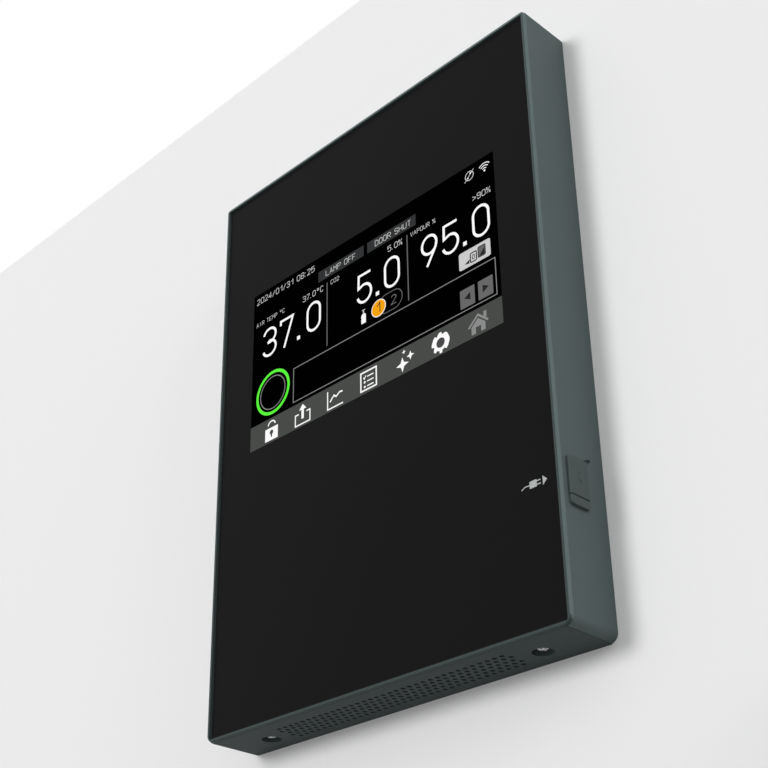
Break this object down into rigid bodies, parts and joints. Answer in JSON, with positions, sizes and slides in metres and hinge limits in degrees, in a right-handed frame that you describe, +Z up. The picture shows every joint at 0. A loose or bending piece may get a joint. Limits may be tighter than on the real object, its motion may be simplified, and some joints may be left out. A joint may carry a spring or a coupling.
{
  "type": "carbon dioxide incubator",
  "caption": "Direct-heat cell incubator with an insulated outer door that carries a touch-screen control panel, an inner glass door, shelves, a humidity pan and a fan duct.",
  "frame": {"origin": "on the bench under the middle of the object's box", "axes": "+X to the right as seen from the front, +Y back into the cabinet, +Z up; the doors face -Y"},
  "size_m": [0.62, 0.7322, 0.9116],
  "materials": {
    "casing_paint": "satin",
    "door_paint": "satin",
    "liner_paint": "satin",
    "zinc_steel": "satin",
    "foam": "matte",
    "stainless": "satin",
    "bright_steel": "polished",
    "motor_metal": "satin",
    "white_plastic": "satin",
    "lamp_glass": "polished",
    "clear_glass": "polished",
    "pale_silicone": "matte",
    "grey_rubber": "matte",
    "slate_plastic": "matte",
    "slate_rubber": "matte",
    "dark_plastic": "matte",
    "black_glass": "satin",
    "display_black": "satin",
    "circuit_board": "satin",
    "brass": "satin",
    "foot_rubber": "matte"
  },
  "bodies": {
    "cabinet": {"side_panel_left": "casing_paint", "side_panel_right": "casing_paint", "top_panel": "casing_paint", "rear_panel": "casing_paint", "base_plate": "zinc_steel", "front_collar": "liner_paint", "insulation": "foam", "chamber": "stainless", "shelf_rack_left": "stainless", "shelf_rack_right": "stainless", "air_duct_cover": "stainless", "fan_motor": "motor_metal", "uv_lamp": "lamp_glass", "lamp_holders": "white_plastic", "gas_sensor": "white_plastic", "temperature_probe": "stainless", "inner_door_seal": "pale_silicone", "inner_hinge_posts": "bright_steel", "magnet_catch": "white_plastic", "hinge_bracket_top": "zinc_steel", "hinge_bracket_bottom": "zinc_steel", "service_cover": "casing_paint", "service_board": "circuit_board", "power_inlet": "dark_plastic", "gas_inlets": "brass", "port_sleeve": "white_plastic", "casing_screws": "zinc_steel"},
    "outer_door": {"door_skin": "door_paint", "door_liner": "liner_paint", "door_insulation": "foam", "door_seal": "grey_rubber", "door_handle": "slate_plastic", "hinge_bushes": "white_plastic", "panel_housing": "slate_plastic", "panel_under_cover": "slate_plastic", "panel_glass": "black_glass", "display_module": "display_black", "control_board": "circuit_board", "speaker": "dark_plastic", "usb_socket": "bright_steel", "usb_cover_root": "slate_rubber", "panel_back_plate": "zinc_steel", "panel_screws": "bright_steel"},
    "inner_door": {"inner_door_glass": "clear_glass", "inner_hinge_clamps": "bright_steel", "inner_door_grip": "dark_plastic"},
    "usb_cover": {"usb_cover": "slate_rubber"},
    "fan": {"fan_wheel": "white_plastic", "fan_shaft": "bright_steel"},
    "stopper": {"port_stopper": "pale_silicone"},
    "rocker": {"power_switch": "dark_plastic"},
    "pan": {"humidity_pan": "stainless"},
    "shelf_1": {"shelf_1": "stainless"},
    "shelf_2": {"shelf_2": "stainless"},
    "shelf_3": {"shelf_3": "stainless"},
    "shelf_4": {"shelf_4": "stainless"},
    "foot_front_left": {"levelling_foot_front_left": "foot_rubber"},
    "foot_front_right": {"levelling_foot_front_right": "foot_rubber"},
    "foot_rear_left": {"levelling_foot_rear_left": "foot_rubber"},
    "foot_rear_right": {"levelling_foot_rear_right": "foot_rubber"}
  },
  "joints": [
    {"name": "outer_door_hinge", "type": "hinge", "parent": "cabinet", "child": "outer_door", "pos_m": [-0.296, -0.2921, 0.47], "axis": [0, 0, -1], "range_deg": [0, 100]},
    {"name": "inner_door_hinge", "type": "hinge", "parent": "cabinet", "child": "inner_door", "pos_m": [-0.263, -0.2411, 0.4625], "axis": [0, 0, -1], "range_deg": [0, 80.5]},
    {"name": "shelf_1_slide", "type": "slide", "parent": "cabinet", "child": "shelf_1", "axis": [0, -1, 0], "range_m": [0, 0.0667]},
    {"name": "shelf_2_slide", "type": "slide", "parent": "cabinet", "child": "shelf_2", "axis": [0, -1, 0], "range_m": [0, 0.0667]},
    {"name": "shelf_3_slide", "type": "slide", "parent": "cabinet", "child": "shelf_3", "axis": [0, -1, 0], "range_m": [0, 0.0667]},
    {"name": "shelf_4_slide", "type": "slide", "parent": "cabinet", "child": "shelf_4", "axis": [0, -1, 0], "range_m": [0, 0.0667]},
    {"name": "pan_slide", "type": "slide", "parent": "cabinet", "child": "pan", "axis": [0, -1, 0], "range_m": [0, 0.0667]},
    {"name": "usb_cover_fold", "type": "hinge", "parent": "outer_door", "child": "usb_cover", "pos_m": [0.19505, -0.3436, 0.5506], "axis": [0, 1, 0], "range_deg": [0, 100]},
    {"name": "fan_spin", "type": "hinge", "parent": "cabinet", "child": "fan", "pos_m": [0, 0.28, 0.665], "axis": [0, 1, 0], "continuous": true},
    {"name": "stopper_slide", "type": "slide", "parent": "cabinet", "child": "stopper", "axis": [0, 1, 0], "range_m": [0, 0.048]},
    {"name": "power_switch_rock", "type": "hinge", "parent": "cabinet", "child": "rocker", "pos_m": [-0.22, 0.3389, 0.198], "axis": [1, 0, 0], "range_deg": [0, 16]},
    {"name": "foot_front_left_turn", "type": "hinge", "parent": "cabinet", "child": "foot_front_left", "pos_m": [-0.265, -0.2051, 0.02], "axis": [0, 0, 1], "continuous": true},
    {"name": "foot_front_right_turn", "type": "hinge", "parent": "cabinet", "child": "foot_front_right", "pos_m": [0.265, -0.2051, 0.02], "axis": [0, 0, 1], "continuous": true},
    {"name": "foot_rear_left_turn", "type": "hinge", "parent": "cabinet", "child": "foot_rear_left", "pos_m": [-0.265, 0.2949, 0.02], "axis": [0, 0, 1], "continuous": true},
    {"name": "foot_rear_right_turn", "type": "hinge", "parent": "cabinet", "child": "foot_rear_right", "pos_m": [0.265, 0.2949, 0.02], "axis": [0, 0, 1], "continuous": true}
  ],
  "couplings": [
    {"joint": "inner_door_hinge", "follows": "outer_door_hinge", "ratio": 0.8},
    {"joint": "shelf_1_slide", "follows": "outer_door_hinge", "m_per_rad": 0.038},
    {"joint": "shelf_2_slide", "follows": "outer_door_hinge", "m_per_rad": 0.038},
    {"joint": "shelf_3_slide", "follows": "outer_door_hinge", "m_per_rad": 0.038},
    {"joint": "shelf_4_slide", "follows": "outer_door_hinge", "m_per_rad": 0.038},
    {"joint": "pan_slide", "follows": "outer_door_hinge", "m_per_rad": 0.038}
  ]
}
